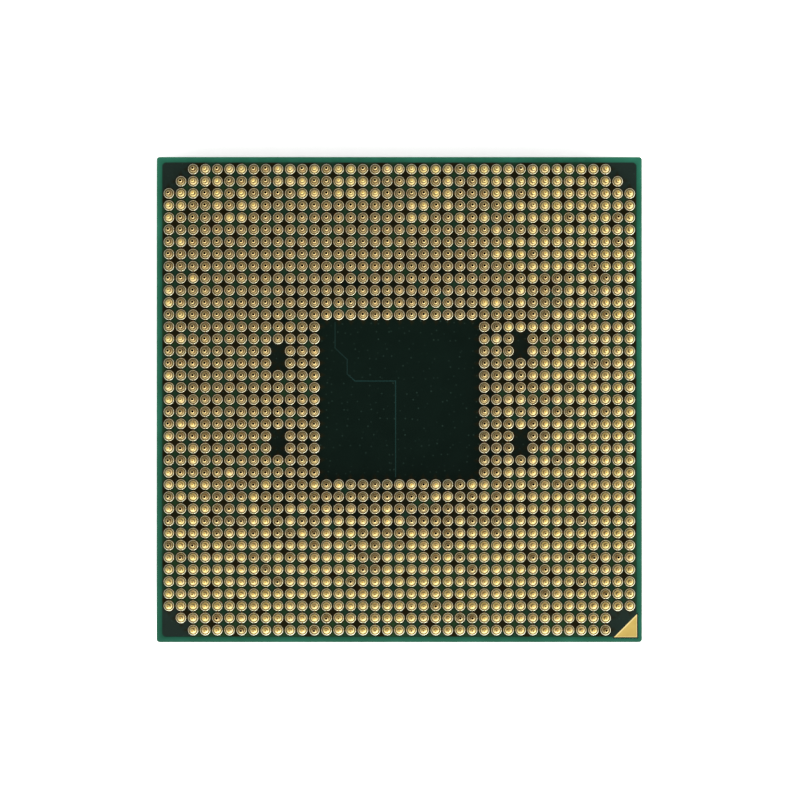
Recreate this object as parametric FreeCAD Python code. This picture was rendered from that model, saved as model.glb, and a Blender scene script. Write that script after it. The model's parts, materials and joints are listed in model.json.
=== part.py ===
import FreeCAD, Part
import math
import os
from FreeCAD import Vector

os.makedirs("parts", exist_ok=True)

# A desktop processor in a square pin-grid package. It lies on its lid with the pins up.
# Lengths are millimetres. The origin is the middle of the lid's outer face, +Z points
# the way the pins point, and the marked corner is at +X, -Y.

# ---- laminate: its outline and its layers ----
package_side = 40.0
package_corner_radius = 0.25
core_thickness = 0.80
buildup_thickness = 0.14
plane_thickness = 0.02
plane_setback = 0.30            # laminate edge to the inner copper
copper_thickness = 0.02
mask_thickness = 0.03

# ---- copper on the pin side ----
edge_ring_setback = 0.05        # laminate edge to the bright copper ring
edge_ring_width = 0.42
copper_gap = 0.05               # between any two pieces of copper in one layer
trace_width = 0.10              # the thin stepped line in the window

# ---- pins and their solder ----
pin_pitch = 1.0
pin_edge_margin = 1.0           # least distance from a pin's axis to the laminate edge
window_half = 6.5               # the empty window in the middle, from its centre to its side
pin_radius = 0.15
pin_length = 2.0                # from the face of the laminate to the tip
pin_tip_chamfer = 0.05
head_radius = 0.30
head_thickness = 0.10
head_draft = 0.02               # how far the head's edge leans in over its thickness
neck_height = 0.04              # height of the cone from the head in to the shaft
solder_under_head = 0.02
solder_crest = 0.08             # height of the solder's ring above the outer copper
solder_gap = 0.14               # between the feet of two neighbouring solder joints
mask_clearance = 0.01           # solder's foot to the edge of the mask's opening

# Pins left out as keys, counted in pitches from the centre.
key_column = 10
key_rows_left = (3, 4, -3, -4)
key_rows_right = (4, 5, -3, -4)

# ---- the gold corner marks ----
mark_leg = 2.0
mark_setback = 0.36             # laminate edge to the mark's two straight sides
mark_clearance = 0.02           # mark to the edge of the mask's opening

# ---- lid ----
lid_setback = 1.25              # laminate edge to the lid's flange
lid_height = 2.95
lid_flange_thickness = 1.0
lid_step_width = 1.2            # flange's outer side in to the raised face
lid_foot_width = 2.4
lid_corner_radius = 1.5
lid_edge_fillet = 0.35
cavity_corner_radius = 1.0
adhesive_thickness = 0.12
adhesive_width = 1.3
vent_width = 3.0

# ---- dies: centre x, centre y, size x, size y ----
io_die_place = (-6.2, 0.0, 9.4, 13.2)
upper_die_place = (6.0, 5.8, 10.5, 7.6)
lower_die_place = (6.0, -5.8, 10.5, 7.6)
die_thickness = 0.775
bump_height = 0.07              # die to the face of the solder mask
bump_margin = 0.30              # die's side in to the outermost bumps
underfill_reach = 0.50          # die's side out to the foot of the underfill
underfill_climb = 0.40          # how far the underfill rises up the die's side
thermal_solder_thickness = 0.25
thermal_solder_overlap = 0.20   # die's side out to the edge of the thermal solder

# ---- ceramic capacitors, in a row along each wall of the lid's cavity ----
capacitor_length = 1.0
capacitor_width = 0.50
capacitor_height = 0.50
capacitor_end_length = 0.25
capacitor_end_swell = 0.01      # how far an end terminal stands out past the body
capacitor_spacing = 3.0
capacitor_wall_clearance = 0.45
capacitor_corner_clearance = 3.0
capacitor_solder_thickness = 0.03
capacitor_solder_reach = 0.15

# ---- levels, from the lid's outer face up to the pin tips ----
lid_foot_z = lid_height
lid_mask_z = lid_foot_z + adhesive_thickness
lid_copper_z = lid_mask_z + mask_thickness
lid_buildup_z = lid_copper_z + copper_thickness
lid_plane_z = lid_buildup_z + buildup_thickness
core_z = lid_plane_z + plane_thickness
pin_plane_z = core_z + core_thickness
pin_buildup_z = pin_plane_z + plane_thickness
pin_copper_z = pin_buildup_z + buildup_thickness
pin_mask_z = pin_copper_z + copper_thickness
pin_face_z = pin_mask_z + mask_thickness
die_face_z = lid_mask_z - bump_height
die_back_z = die_face_z - die_thickness
cavity_floor_z = die_back_z - thermal_solder_thickness

# ---- sizes that follow from the ones above ----
package_half = package_side / 2
pins_from_centre = math.floor((package_half - pin_edge_margin) / pin_pitch + 1e-6)
solder_radius = (pin_pitch - solder_gap) / 2
solder_crest_radius = (head_radius + solder_radius) / 2
pad_radius = solder_radius + 2 * mask_clearance
window_pins = math.floor(window_half / pin_pitch)
copper_window_half = (window_pins + 1) * pin_pitch - pad_radius - copper_gap
ring_inner_half = package_half - edge_ring_setback - edge_ring_width
lid_half = package_half - lid_setback
cavity_half = lid_half - lid_foot_width


def save(name, shape):
    """Write one node and say how many solids it holds."""
    shape.exportStep("parts/" + name + ".step")
    print(name, len(shape.Solids), "solids", round(shape.Volume, 4), "mm3")


# ---------------------------------------------------------------- plates and cuts
def plate(half_x, half_y, radius, bottom, thickness, middle=(0.0, 0.0)):
    """A flat plate with rounded upright edges."""
    corner = Vector(middle[0] - half_x, middle[1] - half_y, bottom)
    block = Part.makeBox(2 * half_x, 2 * half_y, thickness, corner)
    if radius <= 0:
        return block
    upright = [e for e in block.Edges if abs(e.tangentAt(e.FirstParameter).z) > 0.5]
    return block.makeFillet(radius, upright)


def square_plate(half, radius, bottom, thickness):
    return plate(half, half, radius, bottom, thickness)


def mark_triangle(grow, z):
    """The corner mark's outline, a right triangle, moved out by grow on all three sides."""
    tip_x = package_half - mark_setback + grow
    leg = mark_leg + grow * (2 + math.sqrt(2))
    return Part.makePolygon([
        Vector(tip_x, -tip_x, z),
        Vector(tip_x, -tip_x + leg, z),
        Vector(tip_x - leg, -tip_x, z),
        Vector(tip_x, -tip_x, z),
    ])


def mark_plate(grow, bottom, thickness):
    return Part.Face(mark_triangle(grow, bottom)).extrude(Vector(0, 0, thickness))


# ---------------------------------------------------------------- where the pins stand
def is_pinless(column, row):
    """Whether a grid place is left empty. Column and row are pitches from the centre."""
    if max(abs(column), abs(row)) <= window_pins:
        return True
    from_corner_x = pins_from_centre - abs(column)
    from_corner_y = pins_from_centre - abs(row)
    if from_corner_x + from_corner_y <= 1:
        return True
    at_marked_corner = column > 0 and row < 0
    if at_marked_corner and max(from_corner_x, from_corner_y) <= 1:
        return True
    if column == -key_column and row in key_rows_left:
        return True
    return column == key_column and row in key_rows_right


def is_corner_pin(column, row):
    """The outermost pins beside each empty corner."""
    reach = sorted((abs(column), abs(row)))
    return reach == [pins_from_centre - 2, pins_from_centre]


def field_of(row, column):
    """The side of the window on which a pin stands."""
    if row > window_pins:
        return "north"
    if row < -window_pins:
        return "south"
    return "west" if column < 0 else "east"


steps = range(-pins_from_centre, pins_from_centre + 1)
places = [(column, row) for row in steps for column in steps if not is_pinless(column, row)]
print(len(places), "pins on a", pin_pitch, "mm grid")


# ---------------------------------------------------------------- pins and solder joints
def turned(profile):
    """A solid turned about the Z axis from a closed list of (radius, z) points."""
    points = [Vector(radius, 0, z) for radius, z in profile]
    face = Part.Face(Part.makePolygon(points + points[:1]))
    return face.revolve(Vector(0, 0, 0), Vector(0, 0, 1), 360)


def head_radius_at(height):
    """The head's radius at a height above its underside; its edge leans in a little."""
    return head_radius - head_draft * height / head_thickness


def nail_head_pin():
    head_z = pin_mask_z + solder_under_head
    shoulder_z = head_z + head_thickness
    tip_z = pin_face_z + pin_length
    return turned([
        (0, head_z),
        (head_radius, head_z),
        (head_radius_at(head_thickness), shoulder_z),
        (pin_radius, shoulder_z + neck_height),
        (pin_radius, tip_z - pin_tip_chamfer),
        (pin_radius - pin_tip_chamfer, tip_z),
        (0, tip_z),
    ])


def solder_joint():
    """The solder under a pin's head, with the ring that it draws up round the head's edge."""
    head_z = pin_mask_z + solder_under_head
    crest_z = pin_mask_z + solder_crest
    wetted_z = (head_z + crest_z) / 2
    return turned([
        (0, pin_mask_z),
        (solder_radius, pin_mask_z),
        (solder_crest_radius, crest_z),
        (head_radius_at(wetted_z - head_z), wetted_z),
        (head_radius, head_z),
        (0, head_z),
    ])


def copies(prototype, chosen):
    """One copy of a pin or joint at each chosen grid place."""
    group = []
    for column, row in chosen:
        copy = prototype.copy()
        copy.translate(Vector(column * pin_pitch, row * pin_pitch, 0))
        group.append(copy)
    return Part.Compound(group)


pin = nail_head_pin()
joint = solder_joint()
save("pins_corner", copies(pin, [p for p in places if is_corner_pin(*p)]))
for side in ("north", "south", "west", "east"):
    here = [(column, row) for column, row in places if field_of(row, column) == side]
    save("pins_" + side, copies(pin, [p for p in here if not is_corner_pin(*p)]))
    save("solder_" + side, copies(joint, here))


# ---------------------------------------------------------------- solder mask, pin side
def pin_side_mask():
    """A thin coat over the whole face, open round each pin and over the corner mark."""
    sheet = square_plate(package_half, package_corner_radius, pin_mask_z, mask_thickness)
    outline = min(sheet.Faces, key=lambda f: f.CenterOfMass.z).OuterWire
    face = Part.Face(outline)
    up = face.normalAt(0, 0).z > 0
    turn = Vector(0, 0, -1 if up else 1)
    opening_radius = solder_radius + mask_clearance
    openings = []
    for column, row in places:
        middle = Vector(column * pin_pitch, row * pin_pitch, pin_mask_z)
        openings.append(Part.Wire(Part.makeCircle(opening_radius, middle, turn)))
    mark = mark_triangle(mark_clearance, pin_mask_z)
    if (Part.Face(mark).normalAt(0, 0).z > 0) == up:
        mark.reverse()
    openings.append(mark)
    return Part.Face([outline] + openings).extrude(Vector(0, 0, mask_thickness))


save("pin_side_mask", pin_side_mask())


# ---------------------------------------------------------------- copper, pin side
def edge_ring():
    """The bright ring of copper along the four edges, cut back round the corner mark."""
    outer = square_plate(package_half - edge_ring_setback, package_corner_radius,
                         pin_copper_z, copper_thickness)
    inner = square_plate(ring_inner_half, 0, pin_copper_z, copper_thickness)
    return outer.cut(inner).cut(mark_plate(copper_gap, pin_copper_z, copper_thickness))


def pin_field_copper():
    """The pads and the copper poured between them, as one piece, open in the window."""
    field_half = ring_inner_half - copper_gap
    sheet = square_plate(field_half, 0, pin_copper_z, copper_thickness)
    window = square_plate(copper_window_half, 0, pin_copper_z, copper_thickness)
    sheet = sheet.cut(window)
    for sign_x, sign_y in ((-1, 1), (1, 1), (-1, -1), (1, -1)):
        is_marked = (sign_x, sign_y) == (1, -1)
        nearest_pin = pins_from_centre - (2 if is_marked else 1)
        copper_edge = nearest_pin * pin_pitch + pad_radius + copper_gap / 2
        cut_half = (field_half - copper_edge) / 2 + copper_gap
        middle = copper_edge + cut_half
        sheet = sheet.cut(plate(cut_half, cut_half, 0, pin_copper_z, copper_thickness,
                                (sign_x * middle, sign_y * middle)))
    return sheet


def window_trace():
    """A thin copper line that steps across the window, from its top edge to its bottom one."""
    end_y = copper_window_half - copper_gap - trace_width / 2
    route = [
        (-5.30, end_y), (-5.30, 4.25), (-4.30, 3.30), (-4.30, 2.10),
        (-3.65, 1.53), (-0.31, 1.53), (-0.31, -end_y),
    ]
    half = trace_width / 2
    line = None
    for (x0, y0), (x1, y1) in zip(route, route[1:]):
        run = math.hypot(x1 - x0, y1 - y0)
        strip = Part.makeBox(run, trace_width, copper_thickness, Vector(0, -half, 0))
        strip.rotate(Vector(0, 0, 0), Vector(0, 0, 1), math.degrees(math.atan2(y1 - y0, x1 - x0)))
        strip.translate(Vector(x0, y0, pin_copper_z))
        bend = Part.makeCylinder(half, copper_thickness, Vector(x1, y1, pin_copper_z))
        piece = strip.fuse(bend)
        line = piece if line is None else line.fuse(piece)
    return line.removeSplitter()


save("edge_copper_ring", edge_ring())
save("pin_field_copper", pin_field_copper())
save("window_trace", window_trace())
save("corner_mark", mark_plate(0, pin_copper_z, copper_thickness))


# ---------------------------------------------------------------- laminate
def inner_plane(bottom, thickness):
    """A sheet of copper inside the laminate, kept back from its edges."""
    return square_plate(package_half - plane_setback, package_corner_radius, bottom, thickness)


def laminate_layer(bottom, thickness):
    return square_plate(package_half, package_corner_radius, bottom, thickness)


save("pin_side_buildup", laminate_layer(pin_buildup_z, buildup_thickness))
save("pin_side_plane", inner_plane(pin_plane_z, plane_thickness))
save("laminate_core", laminate_layer(core_z, core_thickness))
save("lid_side_plane", inner_plane(lid_plane_z, plane_thickness))
save("lid_side_buildup", laminate_layer(lid_buildup_z, buildup_thickness))


# ---------------------------------------------------------------- copper and mask, lid side
dies = {"io_die": io_die_place, "upper_die": upper_die_place, "lower_die": lower_die_place}


def over_die(place, grow, bottom, thickness):
    """A plate over a die, larger than it by grow on every side."""
    x, y, size_x, size_y = place
    return plate(size_x / 2 + grow, size_y / 2 + grow, 0, bottom, thickness, (x, y))


def lid_side_mask():
    """A thin coat, open at each die's bumps and over the lid side's corner mark."""
    sheet = laminate_layer(lid_mask_z, mask_thickness)
    for place in dies.values():
        sheet = sheet.cut(over_die(place, -bump_margin, lid_mask_z, mask_thickness))
    return sheet.cut(mark_plate(mark_clearance, lid_mask_z, mask_thickness))


lid_side_sheet = inner_plane(lid_copper_z, copper_thickness)
save("lid_side_copper", lid_side_sheet.cut(mark_plate(copper_gap, lid_copper_z, copper_thickness)))
save("lid_side_mark", mark_plate(0, lid_copper_z, copper_thickness))
save("lid_side_mask", lid_side_mask())


# ---------------------------------------------------------------- dies
def underfill(place):
    """Resin between a die and the laminate, with a sloped bead round the die's side."""
    x, y, size_x, size_y = place
    climb_z = die_face_z - underfill_climb

    def outline(grow, z):
        half_x = size_x / 2 + grow
        half_y = size_y / 2 + grow
        corners = [(-half_x, -half_y), (half_x, -half_y), (half_x, half_y), (-half_x, half_y)]
        return Part.makePolygon([Vector(x + cx, y + cy, z) for cx, cy in corners + corners[:1]])

    bead = Part.makeLoft([outline(0.02, climb_z), outline(underfill_reach, lid_mask_z)], True, True)
    bead = bead.cut(over_die(place, 0, die_back_z, die_thickness))
    return bead.cut(over_die(place, -bump_margin, die_face_z, bump_height))


for name, place in dies.items():
    save(name, over_die(place, 0, die_back_z, die_thickness))
    save(name + "_bumps", over_die(place, -bump_margin, die_face_z, bump_height + mask_thickness))
    save(name + "_underfill", underfill(place))
    save(name + "_thermal_solder", over_die(place, thermal_solder_overlap, cavity_floor_z,
                                            thermal_solder_thickness))


# ---------------------------------------------------------------- capacitors
def capacitor_places():
    """Places along the four walls of the cavity: x, y, and whether the length runs along X."""
    wall = cavity_half - capacitor_wall_clearance - capacitor_width / 2
    run = cavity_half - capacitor_corner_clearance
    each_way = math.floor(run / capacitor_spacing)
    found = []
    for step in range(-each_way, each_way + 1):
        along = step * capacitor_spacing
        found += [(-wall, along, False), (wall, along, False), (along, -wall, True), (along, wall, True)]
    return found


def capacitor_block(start, length, grow, top, height, spot):
    """A block from start along a capacitor's length, hanging down from the level top."""
    x, y, along_x = spot
    width = capacitor_width + 2 * grow
    block = Part.makeBox(length, width, height, Vector(start, -width / 2, top - height))
    if not along_x:
        block.rotate(Vector(0, 0, 0), Vector(0, 0, 1), 90)
    block.translate(Vector(x, y, 0))
    return block


spots = capacitor_places()
half_length = capacitor_length / 2
body_half = half_length - capacitor_end_length
seat_z = lid_mask_z - capacitor_solder_thickness
bodies = [
    capacitor_block(-body_half, 2 * body_half, 0, seat_z - capacitor_end_swell, capacitor_height, s)
    for s in spots
]
ends = [
    capacitor_block(start, capacitor_end_length, capacitor_end_swell, seat_z,
                    capacitor_height + 2 * capacitor_end_swell, s)
    for s in spots
    for start in (-half_length, body_half)
]
feet = [
    capacitor_block(start, capacitor_end_length + capacitor_solder_reach, capacitor_end_swell,
                    lid_mask_z, capacitor_solder_thickness, s)
    for s in spots
    for start in (-half_length - capacitor_solder_reach, body_half)
]
save("capacitor_bodies", Part.Compound(bodies))
save("capacitor_ends", Part.Compound(ends))
save("capacitor_solder", Part.Compound(feet))


# ---------------------------------------------------------------- lid and its adhesive
def lid():
    """A stepped metal cap: a raised outer face, a flange, and a shallow cavity for the dies."""
    flange_z = lid_foot_z - lid_flange_thickness
    face_half = lid_half - lid_step_width
    raised = square_plate(face_half, lid_corner_radius, 0, lid_foot_z)
    raised = raised.makeFillet(lid_edge_fillet, [e for e in raised.Edges if e.BoundBox.ZMax < 1e-6])
    flange = square_plate(lid_half, lid_corner_radius, flange_z, lid_flange_thickness)
    flange = flange.makeFillet(lid_edge_fillet / 2, [
        e for e in flange.Edges if e.BoundBox.ZMax < flange_z + 1e-6
    ])
    cavity = square_plate(cavity_half, cavity_corner_radius, cavity_floor_z,
                          lid_foot_z - cavity_floor_z)
    return raised.fuse(flange).cut(cavity).removeSplitter()


def lid_adhesive():
    """A bead along the middle of the lid's foot, broken by a vent at the middle of two sides."""
    middle_half = (lid_half + cavity_half) / 2
    outer_half = middle_half + adhesive_width / 2
    inner_half = middle_half - adhesive_width / 2
    outer = square_plate(outer_half, lid_corner_radius, lid_foot_z, adhesive_thickness)
    inner = square_plate(inner_half, cavity_corner_radius, lid_foot_z, adhesive_thickness)
    vents = plate(package_half, vent_width / 2, 0, lid_foot_z, adhesive_thickness)
    return outer.cut(inner).cut(vents)


save("lid", lid())
save("lid_adhesive", lid_adhesive())
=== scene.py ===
# %% [markdown]
# # A pin-grid processor, pins up
#
# The object is a desktop processor lying on its metal lid. What shows from above is a square of
# green-black laminate and a field of gold pins, each standing in its own ring of solder. The
# measured model is loaded first and nothing in it is moved. Each step below then makes one
# visible piece or one finish in its place.

# %% Load the measured model
import json
import math
import random

import bpy
from mathutils import Matrix, Vector


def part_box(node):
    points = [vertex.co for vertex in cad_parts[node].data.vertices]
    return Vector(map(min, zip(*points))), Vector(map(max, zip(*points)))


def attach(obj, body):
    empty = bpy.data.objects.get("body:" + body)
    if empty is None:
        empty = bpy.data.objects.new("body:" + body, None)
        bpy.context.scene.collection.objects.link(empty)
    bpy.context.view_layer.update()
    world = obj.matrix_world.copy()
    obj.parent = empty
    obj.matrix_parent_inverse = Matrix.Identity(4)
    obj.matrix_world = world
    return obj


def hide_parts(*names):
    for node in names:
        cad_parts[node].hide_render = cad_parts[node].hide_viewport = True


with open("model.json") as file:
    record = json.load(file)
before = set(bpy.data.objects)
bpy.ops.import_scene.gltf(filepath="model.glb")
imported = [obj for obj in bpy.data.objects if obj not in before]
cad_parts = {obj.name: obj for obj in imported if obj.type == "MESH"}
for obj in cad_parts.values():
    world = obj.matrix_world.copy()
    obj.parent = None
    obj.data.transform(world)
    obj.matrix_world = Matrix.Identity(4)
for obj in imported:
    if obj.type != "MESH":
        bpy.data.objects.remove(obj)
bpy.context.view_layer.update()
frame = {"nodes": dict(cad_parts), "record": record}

# %% [markdown]
# ## Sizes
#
# A processor is laid out on a grid, so nearly every size is the pin pitch or comes from a box of
# the measured model. The pin places could be typed in again as a list. Reading them from the
# tips of the measured pins is safer, because the looks then always agree with the model.

# %% Read the pitch, the levels and the pin places
MM = 0.001
mounts = {mount["name"]: mount for mount in frame["record"]["mounts"]}
pitch = mounts["pin_field"]["dims"]["spacing_x_mm"] * MM
shaft_radius = mounts["corner_pin_north_west"]["dims"]["r_mm"] * MM
pin_nodes = sorted(name for name in frame["nodes"] if name.startswith("pins_"))
solder_nodes = sorted(name for name in frame["nodes"] if name.startswith("solder_"))

mask_low, mask_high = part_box("pin_side_mask")
package_half = mask_high[0]
mask_top = mask_high[2]
tip_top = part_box("pins_corner")[1][2]
head_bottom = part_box("pins_corner")[0][2]


def places_in(node):
    """The grid places of a node's pins, in pitches from the centre, read from the pin tips."""
    near_tip = tip_top - 0.01 * MM
    tips = [v.co for v in frame["nodes"][node].data.vertices if v.co.z > near_tip]
    return sorted({(round(tip.x / pitch), round(tip.y / pitch)) for tip in tips})


pin_places = {node: places_in(node) for node in pin_nodes}
all_places = {place for places in pin_places.values() for place in places}
outermost = max(column for column, row in all_places)
head_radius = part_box("pins_corner")[1][0] - outermost * pitch
solder_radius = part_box("solder_north")[1][1] - outermost * pitch
window_half = min(abs(row) for column, row in all_places if column == 0)    # in pitches
print(len(all_places), "pins, outermost", outermost, "head radius", head_radius / MM, "mm")

# %% [markdown]
# ## One way to make a piece
#
# Every piece here is worked out as a list of points and a list of faces. That suits a product
# of identical small turned parts better than shaping one by hand and copying it, because each
# copy can differ a little, as real ones do. Colour that changes within a piece, such as a dark
# spot on a pin's tip, is stored at the points, and the finish reads it from there.

# %% Helpers that turn points into a piece
def srgb(red, green, blue):
    """A colour given the way a paint chart gives it, 0 to 255, as the renderer's own numbers."""
    def linear(value):
        share = value / 255
        return share / 12.92 if share <= 0.04045 else ((share + 0.055) / 1.055) ** 2.4
    return (linear(red), linear(green), linear(blue))


def mixed(first, second, share):
    """A colour that is share of the way from the first to the second."""
    return tuple(a + (b - a) * share for a, b in zip(first, second))


crease = math.radians(40)           # an edge that bends more than this looks sharp


def add_piece(name, points, faces, finish, nodes, colours=None, corner_colours=None):
    """A mesh piece that stands for the given nodes, coloured by point or by face corner."""
    mesh = bpy.data.meshes.new(name)
    mesh.from_pydata(points, [], faces)
    if colours or corner_colours:
        layer = mesh.color_attributes.new("tone", "FLOAT_COLOR", "POINT" if colours else "CORNER")
        layer.data.foreach_set("color", [part for colour in colours or corner_colours
                                         for part in (*colour, 1.0)])
    mesh.shade_smooth()
    mesh.set_sharp_from_angle(angle=crease)
    mesh.materials.append(finish)
    piece = bpy.data.objects.new(name, mesh)
    bpy.context.scene.collection.objects.link(piece)
    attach(piece, "root")
    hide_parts(*nodes)
    print(name, len(points), "points", len(faces), "faces")
    return piece


# %% [markdown]
# ## Finishes
#
# A finish is a small network of nodes. They all start alike: one surface shader, a place to read
# positions from, and noise for what varies. So the helpers below lay down those three, and each
# finish then says only what makes it different. All patterns are worked out from the position
# on the part, so nothing is painted on a picture and nothing depends on the view.

# %% Helpers for finishes
def start_finish(name, metallic, roughness, specular=0.5):
    """A new finish with one surface shader. Returns the finish, its node tree and the shader."""
    finish = bpy.data.materials.new(name)
    finish.use_nodes = True
    shader = finish.node_tree.nodes["Principled BSDF"]
    shader.inputs["Metallic"].default_value = metallic
    shader.inputs["Roughness"].default_value = roughness
    shader.inputs["Specular IOR Level"].default_value = specular
    return finish, finish.node_tree, shader


def noise(tree, feature, detail=3.0, stretch=(1, 1, 1)):
    """Cloudy noise whose blotches are about one feature across, in metres."""
    place = tree.nodes.new("ShaderNodeTexCoord")
    scale = tree.nodes.new("ShaderNodeMapping")
    scale.inputs["Scale"].default_value = [part / feature for part in stretch]
    cloud = tree.nodes.new("ShaderNodeTexNoise")
    cloud.inputs["Scale"].default_value = 1.0
    cloud.inputs["Detail"].default_value = detail
    tree.links.new(place.outputs["Object"], scale.inputs["Vector"])
    tree.links.new(scale.outputs["Vector"], cloud.inputs["Vector"])
    return cloud.outputs["Fac"]


def spread(tree, value, low, high, first=0.0, last=1.0):
    """Maps a value from the span low..high to the span first..last, and holds it there."""
    span = tree.nodes.new("ShaderNodeMapRange")
    limits = {"From Min": low, "From Max": high, "To Min": first, "To Max": last}
    for name, limit in limits.items():
        span.inputs[name].default_value = limit
    tree.links.new(value, span.inputs["Value"])
    return span.outputs["Result"]


def blend_colours(tree, share, first, second, how="MIX"):
    """Mixes two colours, each a fixed colour or another node's output, by a share."""
    mix = tree.nodes.new("ShaderNodeMix")
    mix.data_type = "RGBA"
    mix.blend_type = how
    factor, colour_a, colour_b = mix.inputs[0], mix.inputs[6], mix.inputs[7]
    blended = mix.outputs[2]        # the node has sockets for every kind; these are the colours'
    for socket, colour in ((colour_a, first), (colour_b, second)):
        if isinstance(colour, tuple):
            socket.default_value = (*colour, 1.0)
        else:
            tree.links.new(colour, socket)
    if isinstance(share, float):
        factor.default_value = share
    else:
        tree.links.new(share, factor)
    return blended


def add_bump(tree, shader, height, depth):
    """Roughens the surface by a height pattern that is depth metres from low to high."""
    bump = tree.nodes.new("ShaderNodeBump")
    bump.inputs["Distance"].default_value = depth
    tree.links.new(height, bump.inputs["Height"])
    tree.links.new(bump.outputs["Normal"], shader.inputs["Normal"])


noise_span = (0.3, 0.7)             # nearly all of a cloudy noise lies between these


def vary_roughness(tree, shader, cloud, smooth, rough):
    """Lets the roughness follow a cloudy noise."""
    tree.links.new(spread(tree, cloud, *noise_span, smooth, rough), shader.inputs["Roughness"])


def tone_layer(tree):
    """The colour stored at the piece's points."""
    tone = tree.nodes.new("ShaderNodeVertexColor")
    tone.layer_name = "tone"
    return tone.outputs["Color"]


# %% [markdown]
# ## Pins
#
# A pin is a nail: a flat head that is soldered down, a short neck and a straight shaft with a
# rounded tip, gold plated all over. It is turned from a profile, as on a lathe. From straight
# above, the tip, the neck and the head show as rings inside each other, so the profile has a
# ring of points wherever the look changes. On about half the pins the tip carries a dark spot,
# a painted reflection of the camera's dark lens, and the neck is darkened by painted shade. The
# others have a bright tip with a fainter spot of painted shade.

# %% Gold plating
gold_wear = 0.28                    # how strongly the worn blotches show


def gold_plating():
    """Gold in each pin's colours, which carry painted reflection and shade, with worn blotches and
    a fine grain.
    """
    finish, tree, shader = start_finish("gold_plating", metallic=1.0, roughness=0.36)
    tone = tone_layer(tree)
    blotch = noise(tree, 0.09 * MM, detail=4.0)
    worn = blend_colours(tree, spread(tree, blotch, 0.35, 0.7), tone, srgb(150, 118, 70),
                         "MULTIPLY")
    tree.links.new(blend_colours(tree, gold_wear, tone, worn), shader.inputs["Base Color"])
    vary_roughness(tree, shader, blotch, 0.28, 0.5)
    add_bump(tree, shader, noise(tree, 0.05 * MM), 0.0012 * MM)
    return finish


gold = gold_plating()

# %% Which pins carry the painted dark spot
painted_spot_centre = (-5, 4)             # the middle of the pins with the painted dark spot, in pitches
painted_spot_reach = {"left": 15.6, "right": 16, "up": 14.4, "down": 14.6}
share_at_reach = 0.5                # of the pins at that reach, half get the painted dark spot
share_fall = 1.6                    # how fast the share falls from there outwards
share_far_out = 0.07
chance = random.Random(1331)


def gets_painted_dark_spot(column, row):
    """Whether a pin's tip gets the painted dark spot: always round the window, rarely at the far
    edges.
    """
    across, up = column - painted_spot_centre[0], row - painted_spot_centre[1]
    across /= painted_spot_reach["left" if across < 0 else "right"]
    up /= painted_spot_reach["down" if up < 0 else "up"]
    away = (across ** 4 + up ** 4) ** 0.25
    return chance.random() < max(share_far_out, share_at_reach + share_fall * (1 - away))


def faint_spot_tones():
    """The colours of a pin with a bright tip, part by part; its spot is painted shade, from dark to
    faint.
    """
    head = mixed(srgb(221, 204, 139), srgb(225, 204, 155), chance.random())
    # painted shade on the tip, from dark to faint
    spot = mixed(srgb(84, 50, 12), srgb(196, 160, 80), chance.random() ** 0.7)
    tip = srgb(232, 214, 144)
    return {"spot": spot, "spot_rim": tip, "tip": tip, "shaft": srgb(206, 180, 108),
            "neck": head, "head": head, "head_edge": srgb(198, 184, 130)}


def painted_dark_spot_tones():
    """The colours of a pin with a dark spot on a bright tip, a painted reflection of the camera's
    dark lens, and a neck in painted shade.
    """
    # painted shade on the neck, where it reflects the dark wells between the pins
    painted_neck_shade = mixed(srgb(50, 26, 10), srgb(166, 134, 80), chance.random())
    head = mixed(srgb(178, 160, 112), srgb(162, 150, 112), chance.random())
    # the dark spot is a painted reflection of the camera's dark lens
    spot = mixed(srgb(4, 1, 1), srgb(40, 20, 6), chance.random() ** 3)
    return {"spot": spot, "spot_rim": mixed(spot, srgb(56, 30, 8), 0.5),
            "tip": srgb(255, 232, 164), "shaft": srgb(202, 164, 102),
            "neck": painted_neck_shade, "head": head, "head_edge": srgb(178, 162, 118)}


# %% Draw the pin's profile
head_top = head_bottom + 0.10 * MM
pin_profile = [                     # radius, height and part, from under the head to the tip
    (head_radius, head_bottom, "head_edge"),
    (0.985 * head_radius, head_top - 0.025 * MM, "head_edge"),
    (0.93 * head_radius, head_top - 0.006 * MM, "head"),
    (0.72 * head_radius, head_top, "head"),
    # on pins with the dark spot, the neck rings carry painted shade
    (1.34 * shaft_radius, head_top + 0.010 * MM, "neck"),
    (1.06 * shaft_radius, head_top + 0.035 * MM, "neck"),
    (shaft_radius, head_top + 0.10 * MM, "shaft"),
    (shaft_radius, tip_top - 0.060 * MM, "shaft"),
    (0.97 * shaft_radius, tip_top - 0.018 * MM, "tip"),
    (0.80 * shaft_radius, tip_top - 0.003 * MM, "tip"),
    # the tip's painted dark spot and its rim
    (0.68 * shaft_radius, tip_top - 0.001 * MM, "spot_rim"),
    (0.49 * shaft_radius, tip_top, "spot"),
]
print("pins:", len(pin_profile), "rings,", round((tip_top - head_bottom) / MM, 3), "mm high")

# %% Turn every pin
turned_sides = 16
pin_lean = 0.004                    # a usual sideways slope of a pin
turns = [math.tau * side / turned_sides for side in range(turned_sides)]
circle = [(math.cos(turn), math.sin(turn)) for turn in turns]


def turned_faces(first, rings):
    """The faces between rings of points, with a flat cap at the first and the last ring."""
    faces = [[first + side for side in reversed(range(turned_sides))]]
    for ring in range(rings - 1):
        low = first + ring * turned_sides
        high = low + turned_sides
        for side in range(turned_sides):
            after = (side + 1) % turned_sides
            faces.append((low + side, low + after, high + after, high + side))
    last = first + (rings - 1) * turned_sides
    faces.append([last + side for side in range(turned_sides)])
    return faces


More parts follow.
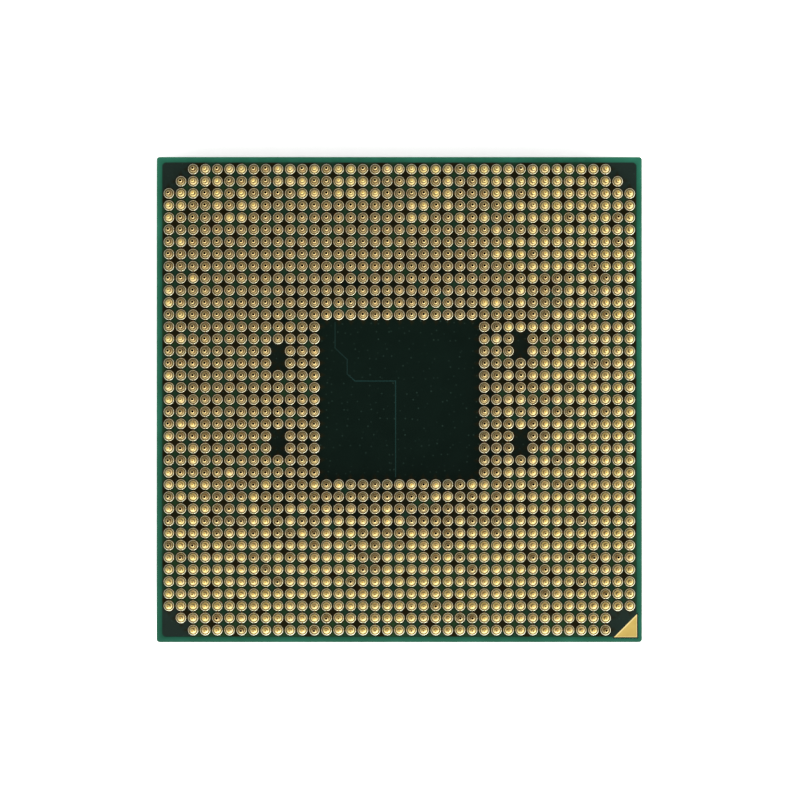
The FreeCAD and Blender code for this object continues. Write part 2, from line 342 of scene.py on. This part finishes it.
def make_pins(node):
    """One piece with all the pins of a node, each in its own colours and a little off upright."""
    points, faces, colours = [], [], []
    for column, row in pin_places[node]:
        tones = painted_dark_spot_tones() if gets_painted_dark_spot(column, row) else faint_spot_tones()
        lean_x, lean_y = chance.gauss(0, pin_lean), chance.gauss(0, pin_lean)
        faces += turned_faces(len(points), len(pin_profile))
        for radius, height, part in pin_profile:
            x = column * pitch + lean_x * (height - head_bottom)
            y = row * pitch + lean_y * (height - head_bottom)
            points += [(x + radius * cosine, y + radius * sine, height) for cosine, sine in circle]
            colours += [tones[part]] * turned_sides
    add_piece("gold_" + node, points, faces, gold, [node], colours)


for node in pin_nodes:
    make_pins(node)

# %% [markdown]
# ## Solder
#
# The solder has been drawn up round each head by surface tension and stands there as a smooth
# silver ring, with a narrow groove where it meets the head. Its colours are bright tin on the
# outer slope and darken with painted shade over the crest, into the groove and at the foot. It is
# turned from a profile like the pin. A real joint is never quite even, so each ring's crest rises
# and falls a little as it goes round, which is what makes the highlights differ from joint to
# joint.

# %% Tin solder
solder_dulling = 0.3                # how strongly the dull grains show


def tin_solder():
    """Tin in each joint's colours, which carry painted shade, with dull grains."""
    finish, tree, shader = start_finish("tin_solder", metallic=1.0, roughness=0.28)
    tone = tone_layer(tree)
    grain = noise(tree, 0.06 * MM, detail=5.0)
    dull = blend_colours(tree, spread(tree, grain, 0.35, 0.75), tone, srgb(140, 132, 108),
                         "MULTIPLY")
    tree.links.new(blend_colours(tree, solder_dulling, tone, dull), shader.inputs["Base Color"])
    vary_roughness(tree, shader, grain, 0.16, 0.3)
    add_bump(tree, shader, grain, 0.0015 * MM)
    return finish


solder_finish = tin_solder()

# %% Draw the joint's profile
solder_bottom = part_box("solder_north")[0][2]
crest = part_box("solder_north")[1][2] - solder_bottom
ring_width = solder_radius - head_radius
solder_profile = [                  # how far in, in ring widths; how high, in crests; colour, darkened inwards by painted shade
    # painted shade at the foot, where the ring meets the mask
    (0.00, 0.00, srgb(100, 100, 84)),
    (0.00, 0.70, srgb(226, 232, 206)),
    (0.03, 0.87, srgb(236, 242, 218)),
    (0.12, 0.96, srgb(230, 236, 214)),
    # from the crest inwards, painted shade, deepest in the groove by the head
    (0.26, 1.00, srgb(186, 188, 160)),
    (0.42, 0.97, srgb(140, 136, 106)),
    (0.60, 0.85, srgb(128, 120, 88)),
    (0.78, 0.66, srgb(134, 124, 86)),
    (1.04, 0.50, srgb(134, 120, 80)),
    (1.10, 0.10, srgb(112, 98, 62)),
]
print("joints:", round(ring_width / MM, 3), "mm wide,", round(crest / MM, 3), "mm high")

# %% Turn every solder joint
dull_grey = srgb(150, 150, 140)


def field_of(place):
    """The solder node that holds the joint at a grid place."""
    column, row = place
    if abs(row) >= window_half:
        return "solder_north" if row > 0 else "solder_south"
    return "solder_west" if column < 0 else "solder_east"


def make_joints(node):
    """One piece with all the joints of a node, each with its own crest and its own grey."""
    points, faces, colours = [], [], []
    for column, row in sorted(place for place in all_places if field_of(place) == node):
        phase = chance.uniform(0, math.tau)
        sway = chance.uniform(0.0, 0.03)
        greyness = chance.uniform(0.0, 0.15)
        dips = [1 - sway * (1 + math.cos(2 * turn + phase)) for turn in turns]
        faces += turned_faces(len(points), len(solder_profile))
        for inwards, upwards, tone in solder_profile:
            radius = solder_radius - inwards * ring_width
            rise = upwards * crest
            points += [(column * pitch + radius * cosine, row * pitch + radius * sine,
                        solder_bottom + rise * dip)
                       for (cosine, sine), dip in zip(circle, dips)]
            colours += [mixed(tone, dull_grey, greyness)] * turned_sides
    add_piece("joints_" + node, points, faces, solder_finish, [node], colours)


for node in solder_nodes:
    make_joints(node)

# %% [markdown]
# ## Solder mask
#
# The green lacquer over the outer copper is one thin sheet with a round opening for each joint.
# It's clear enough to show what's beneath it: green where copper was left, nearly black where it
# was etched away. The etched places follow the routing, in slanting stripes one place in three.
# Under the dies they close up into a dark band. The sheet is laid out place by place, one square
# between four pins at a time, so that each square can have its own colour. Round each opening the
# colour darkens with painted shade next to the solder.

# %% Solder mask lacquer
def specks(tree, spacing, radius):
    """Small soft dots strewn at random, of different strengths."""
    place = tree.nodes.new("ShaderNodeTexCoord")
    dots = tree.nodes.new("ShaderNodeTexVoronoi")
    dots.voronoi_dimensions = "2D"
    dots.inputs["Scale"].default_value = 1 / spacing
    tree.links.new(place.outputs["Object"], dots.inputs["Vector"])
    edge = radius / spacing
    near = spread(tree, dots.outputs["Distance"], 0.3 * edge, edge, 1.0, 0.0)
    strength = tree.nodes.new("ShaderNodeMath")
    strength.operation = "MULTIPLY"
    tree.links.new(near, strength.inputs[0])
    tree.links.new(spread(tree, dots.outputs["Color"], 0.2, 0.9), strength.inputs[1])
    return strength.outputs["Value"]


def mask_lacquer():
    """Clear lacquer over the colour of each square, a little cloudy, with fine pale specks."""
    finish, tree, shader = start_finish("mask_lacquer", metallic=0.0, roughness=0.42, specular=0.03)
    cloud = noise(tree, 2.2 * MM)
    tinted = blend_colours(tree, spread(tree, cloud, *noise_span, 0.0, 0.3), tone_layer(tree),
                           srgb(170, 180, 186), "MULTIPLY")
    dots = specks(tree, spacing=0.72 * MM, radius=0.085 * MM)
    dotted = blend_colours(tree, dots, tinted, srgb(32, 50, 43))
    tree.links.new(dotted, shader.inputs["Base Color"])
    vary_roughness(tree, shader, cloud, 0.34, 0.5)
    add_bump(tree, shader, noise(tree, 0.4 * MM, detail=2.0), 0.004 * MM)
    return finish


lacquer = mask_lacquer()

# %% Choose the colour of each square of the mask
copper_green = srgb(33, 58, 33)
copper_teal = srgb(26, 55, 41)
bare_black = srgb(25, 25, 8)
window_black = srgb(5, 20, 14)
gap_black = srgb(12, 24, 18)
corner_black = srgb(28, 41, 36)
# the dark of etched copper, also used for the painted shade round the openings
etched_and_shade_black = srgb(28, 23, 2)
band_half = 10.6                    # in pitches, how far the dark band reaches to each side
band_wave, band_fray = 1.4, 0.8     # in pitches, how far its edge waves and frays
green_in_band = 0.2                 # share of the squares in the band that are still green
stripe_every = 3                    # in squares
sparse_below = -12                  # in pitches, where each second dark square stays green


def corners_of(column, row):
    """The grid places at the corners of a square, in order round it."""
    return [(column, row), (column + 1, row), (column + 1, row + 1), (column, row + 1)]


def square_tone(column, row):
    """The colour of the mask in the square whose low corner is at a grid place."""
    gaps = [place for place in corners_of(column, row)
            if place not in all_places and max(map(abs, place)) <= outermost]
    across, up = column + 0.5, row + 0.5
    if gaps and max(abs(across), abs(up)) < window_half:
        return window_black
    if gaps:
        return gap_black if min(abs(across), abs(up)) < window_half else corner_black
    green = mixed(copper_green, copper_teal, chance.random())
    band_edge = (band_half + band_wave * math.sin(1.7 * up + 0.4 * across)
                 + chance.uniform(-band_fray, band_fray))
    if max(abs(across), abs(up)) < band_edge:
        if chance.random() < green_in_band:
            return green
        return mixed(bare_black, window_black, chance.random())
    striped = (column - row) % stripe_every == 0
    if striped and (row >= sparse_below or column % 2 == 0):
        return mixed(bare_black, etched_and_shade_black, chance.random() * 0.5)
    return green


# %% Outline a square of the mask
opening_radius = solder_radius + 0.01 * MM      # the mask stands just clear of the solder
package_corner = 0.25 * MM
edge_column = round(package_half / pitch)
arc_steps = 4


def arc(x, y, radius, from_degrees, to_degrees):
    """Points along an arc, both ends included."""
    turns = [math.radians(from_degrees + (to_degrees - from_degrees) * step / arc_steps)
             for step in range(arc_steps + 1)]
    return [(x + radius * math.cos(turn), y + radius * math.sin(turn)) for turn in turns]


def square_outline(column, row):
    """Points round a square, anticlockwise, cut in by openings, and whether each is on one."""
    outline = []
    for corner, place in enumerate(corners_of(column, row)):
        x, y = place[0] * pitch, place[1] * pitch
        turn = 90 * corner
        if place in all_places:
            outline += [(*point, True) for point in arc(x, y, opening_radius, turn + 90, turn)]
        elif abs(place[0]) == abs(place[1]) == edge_column:
            middle = [math.copysign(package_half - package_corner, part) for part in (x, y)]
            outline += [(*point, False)
                        for point in arc(*middle, package_corner, turn + 180, turn + 270)]
        else:
            outline.append((x, y, False))
    return outline


# %% Lay out the mask
class Sheet:
    """Points and faces of a sheet, with one point where places are equal."""

    def __init__(self):
        self.points, self.faces, self.colours, self.known = [], [], [], {}

    def point(self, x, y, z):
        key = tuple(round(part / MM * 1000) for part in (x, y, z))
        if key not in self.known:
            self.known[key] = len(self.points)
            self.points.append((x, y, z))
        return self.known[key]

    def face(self, corners, colours):
        self.faces.append(corners)
        self.colours += colours


opening_shade_share = 0.92                    # how far painted shade darkens the mask at the rim of an opening
inner_share = 0.45                  # where that darkening ends, from the square's middle


def add_square(sheet, column, row, low, high):
    """The top and the bottom of one square of the mask. Returns its edges, top and bottom."""
    tone = square_tone(column, row)
    # painted shade round each opening, next to the solder
    dark = mixed(tone, etched_and_shade_black, opening_shade_share)
    outline = square_outline(column, row)
    middle = ((column + 0.5) * pitch, (row + 0.5) * pitch)
    centre, under = sheet.point(*middle, high), sheet.point(*middle, low)
    outer = [sheet.point(x, y, high) for x, y, cut in outline]
    below = [sheet.point(x, y, low) for x, y, cut in outline]
    inner = [sheet.point(*(m + (part - m) * inner_share for m, part in zip(middle, (x, y))), high)
             for x, y, cut in outline]
    shade = [dark if cut else tone for x, y, cut in outline]
    edges = []
    for k in range(len(outline)):
        after = (k + 1) % len(outline)
        sheet.face((outer[k], outer[after], inner[after], inner[k]),
                   [shade[k], shade[after], tone, tone])
        sheet.face((inner[k], inner[after], centre), [tone] * 3)
        sheet.face((below[after], below[k], under), [tone] * 3)
        edges.append((outer[k], outer[after], below[k], below[after]))
    return edges


mask = Sheet()
edges = []
for column in range(-edge_column, edge_column):
    for row in range(-edge_column, edge_column):
        edges += add_square(mask, column, row, mask_low[2], mask_high[2])
shared = {(first, second) for first, second, *rest in edges}
for first, second, below_first, below_second in edges:
    if (second, first) not in shared:
        mask.face((second, first, below_first, below_second), [etched_and_shade_black] * 4)
mask_piece = add_piece("solder_mask", mask.points, mask.faces, lacquer,
                       ["pin_side_mask"], corner_colours=mask.colours)

# %% [markdown]
# ## Copper frame, window line and corner mark
#
# A band of copper runs round the whole edge under the lacquer and shows as the brighter green
# frame. The lacquer stands a little higher over it, so it's made as a low raised band. The thin
# stepped line in the window is made the same way. The triangle that marks one corner is bare
# gold-plated copper in an opening of its own, on both faces of the laminate. On the pin side the
# mask laps a little over its short sides.

# %% Loft through rounded squares
corner_steps = 6
outline_sides = 4 * (corner_steps + 1)


def rounded_square(half, corner):
    """Points round a square with rounded corners, anticlockwise."""
    points = []
    for turn, (sign_x, sign_y) in enumerate([(1, 1), (-1, 1), (-1, -1), (1, -1)]):
        for step in range(corner_steps + 1):
            angle = math.radians(90 * (turn + step / corner_steps))
            points.append((sign_x * (half - corner) + corner * math.cos(angle),
                           sign_y * (half - corner) + corner * math.sin(angle)))
    return points


def loft(rings, closed):
    """Points and faces through (half, corner, height) rings, closed into a band or capped."""
    points = [(x, y, height) for half, corner, height in rings
              for x, y in rounded_square(half, corner)]
    faces = []
    for ring in range(len(rings) if closed else len(rings) - 1):
        here, there = ring * outline_sides, (ring + 1) % len(rings) * outline_sides
        for side in range(outline_sides):
            after = (side + 1) % outline_sides
            faces.append((there + side, there + after, here + after, here + side))
    if not closed:
        last = (len(rings) - 1) * outline_sides
        faces.append(list(range(outline_sides)))
        faces.append([last + side for side in reversed(range(outline_sides))])
    return points, faces


# %% Raise the frame round the edge
def frame_lacquer():
    """Lacquer over copper, brighter than the mask and a little cloudy."""
    finish, tree, shader = start_finish("frame_lacquer", metallic=0.0, roughness=0.4, specular=0.06)
    cloud = noise(tree, 2.5 * MM, detail=4.0)
    tinted = blend_colours(tree, spread(tree, cloud, *noise_span, 0.0, 0.55), tone_layer(tree),
                           srgb(170, 190, 170), "MULTIPLY")
    tree.links.new(tinted, shader.inputs["Base Color"])
    vary_roughness(tree, shader, cloud, 0.32, 0.48)
    add_bump(tree, shader, noise(tree, 0.3 * MM), 0.004 * MM)
    return finish


frame_finish = frame_lacquer()
copper_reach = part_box("edge_copper_ring")[1][0]
band_inner = package_half - 0.50 * MM
band_rise = 0.012 * MM
sunk = mask_top - 0.01 * MM         # raised bands start a little below the mask's face
frame_rings = [                     # half, corner, height and colour
    (band_inner, 0.30 * MM, sunk, srgb(14, 34, 26)),
    (band_inner + 0.03 * MM, 0.32 * MM, mask_top + 0.4 * band_rise, srgb(20, 58, 46)),
    (band_inner + 0.10 * MM, 0.36 * MM, mask_top + band_rise, srgb(30, 94, 74)),
    (copper_reach - 0.08 * MM, package_corner, mask_top + band_rise, srgb(40, 110, 88)),
    (package_half, package_corner, mask_top + 0.3 * band_rise, srgb(52, 122, 94)),
    (package_half - 0.004 * MM, package_corner, sunk, srgb(52, 122, 94)),
]
points, faces = loft([ring[:3] for ring in frame_rings], closed=True)
mark_side_darkening = 0.08                   # how much darker the frame is half way down its sides


def darkened_towards_mark(point):
    """The frame's colour at one of its points, a little darker towards the mark's side."""
    colour, up = frame_rings[point // outline_sides][3], points[point][1] / package_half
    return mixed(colour, srgb(12, 34, 28), mark_side_darkening * (1 - up) ** 2)


frame_colours = [darkened_towards_mark(point) for face in faces for point in face]
frame_piece = add_piece("edge_frame", points, faces, frame_finish,
                        ["edge_copper_ring"], corner_colours=frame_colours)

# %% Draw the window's stepped line
line_half, line_rise = 0.05 * MM, 0.008 * MM
line_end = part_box("window_trace")[1][1] / MM
line_route = [(-5.30, line_end), (-5.30, 4.25), (-4.30, 3.30), (-4.30, 2.10), (-3.65, 1.53),
              (-0.31, 1.53), (-0.31, -line_end)]
line_upper, line_lower = srgb(13, 38, 34), srgb(18, 48, 45)


def ribbon(route, half, low, high):
    """A flat ribbon along a route of places in millimetres, mitred at its bends."""
    section = ((1, low), (-1, low), (-0.8, high), (0.8, high))
    places = [Vector(place) * MM for place in route]
    points, faces = [], []
    for k, place in enumerate(places):
        before = (place - places[k - 1]).normalized() if k else None
        after = (places[k + 1] - place).normalized() if k + 1 < len(places) else None
        along = ((before or after) + (after or before)).normalized()
        reach = half / max(0.5, along.dot(before or after))
        side = Vector((-along.y, along.x)) * reach
        points += [(*(place + side * share), height) for share, height in section]
    for first in range(0, 4 * (len(places) - 1), 4):
        for side in range(4):
            here, after = first + side, first + (side + 1) % 4
            faces.append((here + 4, after + 4, after, here))
    last = len(points) - 4
    faces += [(0, 1, 2, 3), (last + 3, last + 2, last + 1, last)]
    return points, faces


points, faces = ribbon(line_route, line_half, sunk, mask_top + line_rise)
add_piece("window_line", points, faces, frame_finish, ["window_trace"],
          [line_upper if y > 2 * MM else line_lower for x, y, z in points])

# %% Cut the mark's opening out of the mask and the frame
def mark_corners(node, grow, lean=None):
    """The mark's right-angled triangle, grown on its short sides and, by lean, on its long one."""
    low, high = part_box(node)
    diagonal = grow + (grow if lean is None else lean) * math.sqrt(2)
    return [(high[0] + grow, low[1] - grow), (high[0] + grow, high[1] + diagonal),
            (low[0] - diagonal, low[1] - grow)]


def stacked(levels):
    """Points and faces of a solid through (corners, height) levels, lowest first."""
    count = len(levels[0][0])
    points = [(x, y, z) for corners, z in levels for x, y in corners]
    faces = [tuple(reversed(range(count)))]
    for level in range(len(levels) - 1):
        low, high = level * count, (level + 1) * count
        faces += [(low + k, low + (k + 1) % count, high + (k + 1) % count, high + k)
                  for k in range(count)]
    faces.append(tuple(range(len(points) - count, len(points))))
    return points, faces


overcut = 0.05 * MM                 # how far the cutter stands out of both faces


def cut_opening(piece, grow, lean):
    """Cuts the mark's triangle through a piece, grown by grow and lean."""
    corners = mark_corners("corner_mark", grow, lean)
    points, faces = stacked([(corners, mask_low[2] - overcut), (corners, mask_top + overcut)])
    mesh = bpy.data.meshes.new("mark_cutter")
    mesh.from_pydata(points, [], faces)
    cutter = bpy.data.objects.new("mark_cutter", mesh)
    bpy.context.scene.collection.objects.link(cutter)
    cut = piece.modifiers.new("mark_opening", "BOOLEAN")
    cut.operation = "DIFFERENCE"
    cut.solver = "EXACT"
    cut.object = cutter
    ready = piece.evaluated_get(bpy.context.evaluated_depsgraph_get())
    carved = bpy.data.meshes.new_from_object(ready)
    piece.modifiers.clear()
    piece.data = carved
    bpy.data.objects.remove(cutter)
    print(piece.name, "after the cut:", len(carved.polygons), "faces")


mask_lap = 0.045 * MM               # the mask laps this far over the mark's short sides
frame_clear = 0.05 * MM             # the frame stays this far from the mark
cut_opening(mask_piece, -mask_lap, 0.0)
cut_opening(frame_piece, frame_clear, frame_clear)

# %% Lay the marks
def mark_gold():
    """Gold plating on flat copper, paler at the rim, where the colours hold a painted highlight."""
    finish, tree, shader = start_finish("mark_gold", metallic=0.55, roughness=0.5)
    cloud = noise(tree, 0.8 * MM, detail=5.0)
    colour = blend_colours(tree, spread(tree, cloud, *noise_span, 0.0, 0.4), tone_layer(tree),
                           srgb(240, 226, 200), "MULTIPLY")
    tree.links.new(colour, shader.inputs["Base Color"])
    vary_roughness(tree, shader, cloud, 0.42, 0.58)
    add_bump(tree, shader, noise(tree, 0.05 * MM), 0.002 * MM)
    return finish


mark_finish = mark_gold()
# the paler rim is a painted highlight along the mark's bevelled edge
rim_highlight_gold, face_gold = srgb(210, 194, 132), srgb(181, 158, 83)
for node in ("corner_mark", "lid_side_mark"):
    low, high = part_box(node)
    outer_face, inner_face = (low[2], high[2]) if node == "lid_side_mark" else (high[2], low[2])
    fallen = outer_face + 0.15 * (inner_face - outer_face)
    levels = [(0.0, inner_face), (0.0, fallen), (-0.02 * MM, outer_face),
              (-0.09 * MM, outer_face), (-0.12 * MM, fallen)]
    points, faces = stacked([(mark_corners(node, grow), height) for grow, height in levels])
    if inner_face > outer_face:
        faces = [tuple(reversed(face)) for face in faces]
    tones = [rim_highlight_gold] * (len(points) - 3) + [face_gold] * 3
    add_piece("plated_" + node, points, faces, mark_finish, [node], tones)

# %% [markdown]
# ## Heat-spreader lid
#
# The lid is a stamped copper plate, plated with nickel, with a raised middle, a lower flange and
# a hollow underneath for the dies. It's drawn as a skin through rounded squares, from the floor
# of the hollow out over the foot, down the flange and across the outer face. The stamping tool
# leaves soft edges, so each edge gets a few rings more.

# %% Nickel plating
def nickel_plating():
    """Nickel with fine brush marks across it."""
    finish, tree, shader = start_finish("nickel_plating", metallic=1.0, roughness=0.34)
    brushed = noise(tree, 0.5 * MM, detail=4.0, stretch=(0.05, 1.0, 1.0))
    cloud = noise(tree, 6.0 * MM)
    colour = blend_colours(tree, spread(tree, cloud, *noise_span), srgb(180, 180, 174),
                           srgb(160, 161, 158))
    tree.links.new(colour, shader.inputs["Base Color"])
    vary_roughness(tree, shader, brushed, 0.26, 0.44)
    add_bump(tree, shader, brushed, 0.003 * MM)
    return finish


nickel = nickel_plating()

# %% Loft the lid
lid_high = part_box("lid")[1]
lid_half, lid_top = lid_high[0], lid_high[2]
lid_levels = sorted({round(v.co.z / MM, 3) for v in frame["nodes"]["lid"].data.vertices})
print("lid levels in mm:", lid_levels)
flange_low = 1.95 * MM              # this and the next are two of the levels just printed
floor_level = 1.975 * MM
face_half, cavity_half = 17.55 * MM, 16.35 * MM
lid_corner, cavity_corner = 1.5 * MM, 1.0 * MM
soft = 0.15 * MM                    # how far a stamped edge is rounded


def lid_ring(half, inset, height):
    """A ring of the lid's outside, drawn in by inset soft edges."""
    return half - inset * soft, lid_corner - inset * soft, height


lid_rings = [
    (cavity_half, cavity_corner, floor_level),
    (cavity_half, cavity_corner, lid_top - 0.5 * soft),
    (cavity_half + 0.5 * soft, cavity_corner + 0.1 * MM, lid_top),
    lid_ring(lid_half, 1.0, lid_top),
    lid_ring(lid_half, 0.3, lid_top - 0.3 * soft),
    lid_ring(lid_half, 0.0, lid_top - soft),
    lid_ring(lid_half, 0.0, flange_low + soft),
    lid_ring(lid_half, 0.3, flange_low + 0.3 * soft),
    lid_ring(lid_half, 1.0, flange_low),
    lid_ring(face_half, -1.0, flange_low),
    lid_ring(face_half, 0.0, flange_low - soft),
    lid_ring(face_half, 0.0, 2.3 * soft),
    lid_ring(face_half, 0.12, 1.6 * soft),
    lid_ring(face_half, 0.68, 0.68 * soft),
    lid_ring(face_half, 1.6, 0.12 * soft),
    lid_ring(face_half, 2.3, 0.0),
]
points, faces = loft(lid_rings, closed=False)
add_piece("stamped_lid", points, faces, nickel, ["lid"])

# %% [markdown]
# ## Finishes for the measured pieces
#
# The layers of the laminate, the dies, the capacitors and the adhesive keep their measured
# shapes, since their shapes are plain and mostly hidden. Each gets the finish of its material:
# woven glass and resin for the core, smooth resin for the build-up layers, mirror silicon for the
# dies, dark filled resin under them and grey silicone for the adhesive.

# %% Finishes of the laminate and of what is under the lid
roughness_sway = 0.07               # how far a plain finish's roughness varies either way


def plain_finish(name, first, second, blotch, roughness, metallic=0.0, depth=0.004, specular=0.5,
                 stretch=(1, 1, 1)):
    """A finish of two close colours in blotches, whose size and depth are in millimetres."""
    finish, tree, shader = start_finish(name, metallic, roughness, specular)
    cloud = noise(tree, blotch * MM, detail=4.0, stretch=stretch)
    colour = blend_colours(tree, spread(tree, cloud, *noise_span), first, second)
    tree.links.new(colour, shader.inputs["Base Color"])
    vary_roughness(tree, shader, cloud, roughness - roughness_sway, roughness + roughness_sway)
    add_bump(tree, shader, cloud, depth * MM)
    return finish


core = plain_finish("glass_core", srgb(96, 104, 62), srgb(70, 82, 50), blotch=0.35, roughness=0.6,
                    depth=0.02, stretch=(0.2, 0.2, 3.0))
resin = plain_finish("buildup_resin", srgb(44, 66, 44), srgb(34, 54, 38), blotch=0.5, roughness=0.5)
copper = plain_finish("inner_copper", srgb(184, 110, 74), srgb(160, 92, 60), blotch=0.4,
                      roughness=0.4, metallic=1.0)
lid_side_green = plain_finish("lid_side_lacquer", srgb(26, 76, 52), srgb(20, 62, 44), blotch=1.5,
                              roughness=0.4, specular=0.3)
silicon = plain_finish("silicon_back", srgb(92, 96, 104), srgb(78, 82, 92), blotch=2.0,
                       roughness=0.18, depth=0.001, specular=0.8)
underfill = plain_finish("underfill_resin", srgb(34, 32, 34), srgb(22, 22, 24), blotch=0.3,
                         roughness=0.45)
indium = plain_finish("thermal_solder", srgb(176, 178, 182), srgb(150, 152, 158), blotch=0.6,
                      roughness=0.4, metallic=1.0)
ceramic = plain_finish("capacitor_ceramic", srgb(150, 126, 96), srgb(132, 110, 84), blotch=0.15,
                       roughness=0.5)
tin = plain_finish("tin_plate", srgb(206, 206, 202), srgb(180, 180, 176), blotch=0.1,
                   roughness=0.35, metallic=1.0)
silicone = plain_finish("adhesive_silicone", srgb(92, 94, 96), srgb(74, 76, 78), blotch=0.4,
                        roughness=0.7, depth=0.02)

finish_of = {
    "laminate_core": core,
    "pin_side_buildup": resin, "lid_side_buildup": resin,
    "pin_side_plane": copper, "lid_side_plane": copper, "lid_side_copper": copper,
    "pin_field_copper": copper,
    "lid_side_mask": lid_side_green,
    "capacitor_bodies": ceramic, "capacitor_ends": tin, "capacitor_solder": tin,
    "lid_adhesive": silicone,
}
for die in ("io_die", "upper_die", "lower_die"):
    finish_of |= {die: silicon, die + "_bumps": tin, die + "_underfill": underfill,
                  die + "_thermal_solder": indium}
for node, finish in finish_of.items():
    for part_slot in frame["nodes"][node].material_slots:
        part_slot.material = finish
print(len(finish_of), "measured pieces finished")

# %% [markdown]
# ## Light, floor and camera
#
# Bright metal looks like whatever is around it, so the light matters as much as the finish. The
# room is a pale tent: a little brighter overhead than low down, and brightest high up on one side,
# which puts the crescent of light on the same side of every solder ring. The camera looks almost
# straight down from far away with a long lens.

# %% Set up the light tent
bpy.context.scene.view_settings.view_transform = "Standard"
world = bpy.data.worlds.new("light_tent")
bpy.context.scene.world = world
world.use_nodes = True
sky = world.node_tree
direction = sky.nodes.new("ShaderNodeTexCoord").outputs["Generated"]


def facing(towards, low, high, dim, bright):
    """Brightness by direction: dim away from a direction, bright towards it."""
    dot = sky.nodes.new("ShaderNodeVectorMath")
    dot.operation = "DOT_PRODUCT"
    dot.inputs[1].default_value = Vector(towards).normalized()
    sky.links.new(direction, dot.inputs[0])
    return spread(sky, dot.outputs["Value"], low, high, dim, bright)


def product(first, second):
    """The product of two node outputs."""
    times = sky.nodes.new("ShaderNodeMath")
    times.operation = "MULTIPLY"
    sky.links.new(first, times.inputs[0])
    sky.links.new(second, times.inputs[1])
    return times.outputs["Value"]


overhead = facing((0, 0, 1), 0.2, 1.0, 0.9, 1.28)
one_side = facing((0.45, -1.0, 0.9), 0.36, 1.0, 0.32, 2.75)
backdrop = sky.nodes["Background"]
backdrop.inputs["Color"].default_value = (1.0, 1.0, 1.0, 1.0)
sky.links.new(product(overhead, one_side), backdrop.inputs["Strength"])

floor_half = 1.0
floor_mesh = bpy.data.meshes.new("floor")
floor_mesh.from_pydata([(x * floor_half, y * floor_half, 0)
                        for x, y in ((-1, -1), (1, -1), (1, 1), (-1, 1))], [], [(0, 1, 2, 3)])
floor = bpy.data.objects.new("floor", floor_mesh)
floor_finish, _, floor_shader = start_finish("pale_floor", metallic=0.0, roughness=0.9,
                                             specular=0.1)
floor_shader.inputs["Base Color"].default_value = (*srgb(252, 252, 252), 1.0)
floor_shader.inputs["Emission Color"].default_value = (1.0, 1.0, 1.0, 1.0)
floor_shader.inputs["Emission Strength"].default_value = 0.5
floor_mesh.materials.append(floor_finish)
bpy.context.scene.collection.objects.link(floor)


def softbox(name, place, size, power):
    """A square lamp at a place, aimed at the part."""
    lamp_data = bpy.data.lights.new(name, "AREA")
    lamp_data.energy = power
    lamp_data.size = size
    lamp = bpy.data.objects.new(name, lamp_data)
    lamp.location = place
    lamp.rotation_euler = (-Vector(place)).to_track_quat("-Z", "Y").to_euler()
    bpy.context.scene.collection.objects.link(lamp)


softbox("key", place=(0.14, -0.42, 0.50), size=0.45, power=0.8)

# %% Place the camera
camera_height = 471 * MM            # above the mask
camera_data = bpy.data.cameras.new("camera")
camera_data.sensor_width = 36.0
camera_data.lens = 257.1
camera_data.clip_start = 0.01
camera = bpy.data.objects.new("camera", camera_data)
camera.location = (-1.0 * MM, -2.4 * MM, mask_top + camera_height)
aim = Vector((0.055 * MM, -0.038 * MM, mask_top))
look = (aim - camera.location).normalized()
right = look.cross(Vector((0, 1, 0))).normalized()
camera.rotation_euler = Matrix((right, right.cross(look), -look)).transposed().to_euler()
bpy.context.scene.collection.objects.link(camera)
bpy.context.scene.camera = camera
